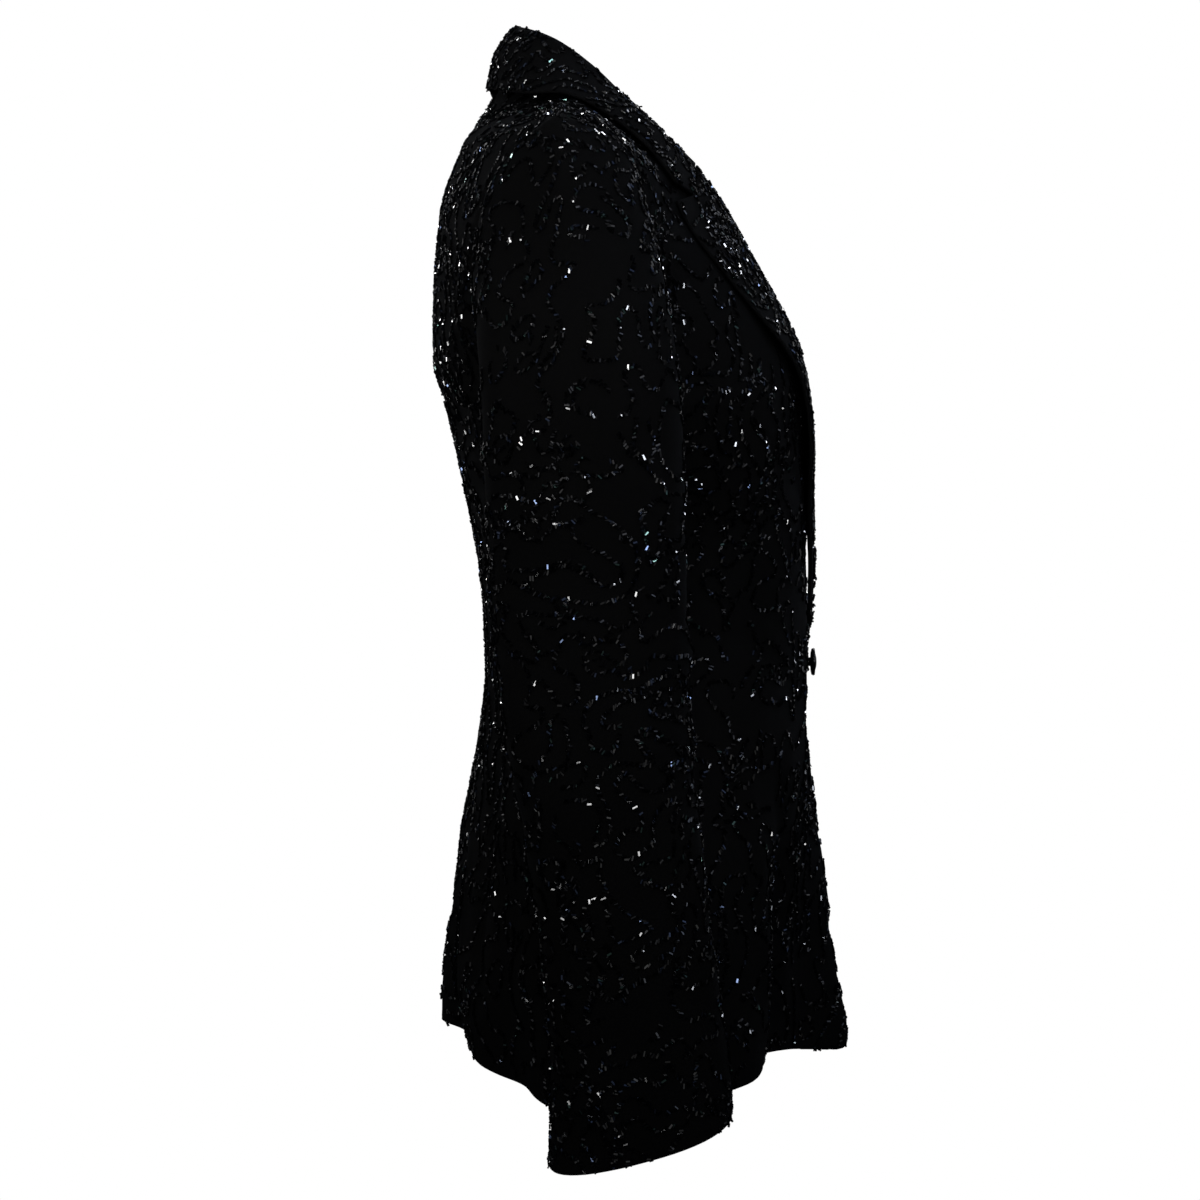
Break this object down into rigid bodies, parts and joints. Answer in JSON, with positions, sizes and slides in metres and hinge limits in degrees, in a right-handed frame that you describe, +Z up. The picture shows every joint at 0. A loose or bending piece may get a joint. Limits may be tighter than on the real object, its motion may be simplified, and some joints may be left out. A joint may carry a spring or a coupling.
{
  "type": "tailored blazer in its worn shape, hollow, held up at the shoulders",
  "caption": "A fitted hip-length blazer with notched lapels, set-in sleeves and one button, hollow as worn, with beaded cloth",
  "frame": {"origin": "midway between the two points where the shoulder seams meet the neckline, where the wearer's shoulders hold it", "axes": "+Z up, +X to the wearer's left, the front faces -Y"},
  "size_m": [0.5518, 0.2631, 0.677],
  "materials": {
    "crepe": "matt black crepe",
    "beads": "polished black glass bugle beads and sequins"
  },
  "bodies": {
    "root": {"front_right": "crepe", "front_left": "crepe", "back_right": "crepe", "back_left": "crepe", "lapel_right": "crepe", "lapel_left": "crepe", "collar_stand": "crepe", "collar_fall": "crepe", "sleeve_top_right": "crepe", "sleeve_under_right": "crepe", "sleeve_top_left": "crepe", "sleeve_under_left": "crepe", "button": "beads"}
  },
  "joints": []
}
